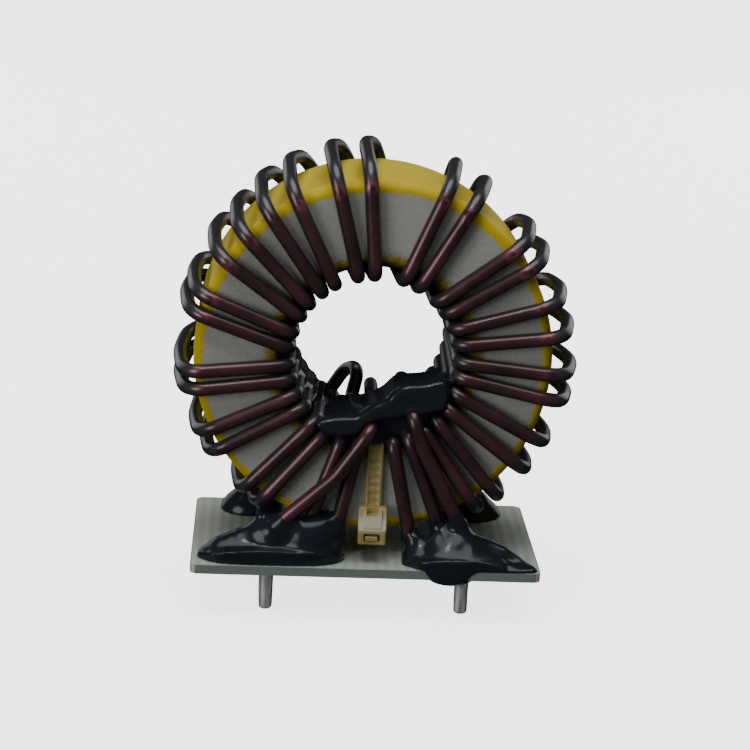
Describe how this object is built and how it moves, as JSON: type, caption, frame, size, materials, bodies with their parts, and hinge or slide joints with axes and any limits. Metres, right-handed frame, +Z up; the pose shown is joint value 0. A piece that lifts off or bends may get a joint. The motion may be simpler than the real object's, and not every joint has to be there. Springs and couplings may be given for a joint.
{
  "type": "toroidal inductor",
  "caption": "Toroidal inductor: coated ring core on edge on a small board, wound with two parallel enamelled wires, held by a cable tie and black adhesive, with tinned wire pins.",
  "frame": {"origin": "centre of the four-pin pattern, on the underside of the board", "axes": "+Z up, away from the pins; the painted front face of the core looks along -Y; +X to the right seen from the front"},
  "size_m": [0.0538, 0.0292, 0.062],
  "materials": {
    "core_paint": "satin epoxy coat, one face overpainted off-white",
    "board_epoxy": "woven glass-epoxy, satin",
    "enamel_a": "glossy enamel",
    "enamel_b": "glossy enamel",
    "nylon": "natural nylon, satin",
    "adhesive": "glossy black adhesive"
  },
  "bodies": {
    "root": {"core": "core_paint", "base_board": "board_epoxy", "winding_strand_a": "enamel_a", "winding_strand_b": "enamel_b", "cable_tie": "nylon", "adhesive_bore": "adhesive", "adhesive_front_left": "adhesive", "adhesive_front_right": "adhesive", "adhesive_rear_left": "adhesive", "adhesive_rear_right": "adhesive"}
  },
  "joints": []
}
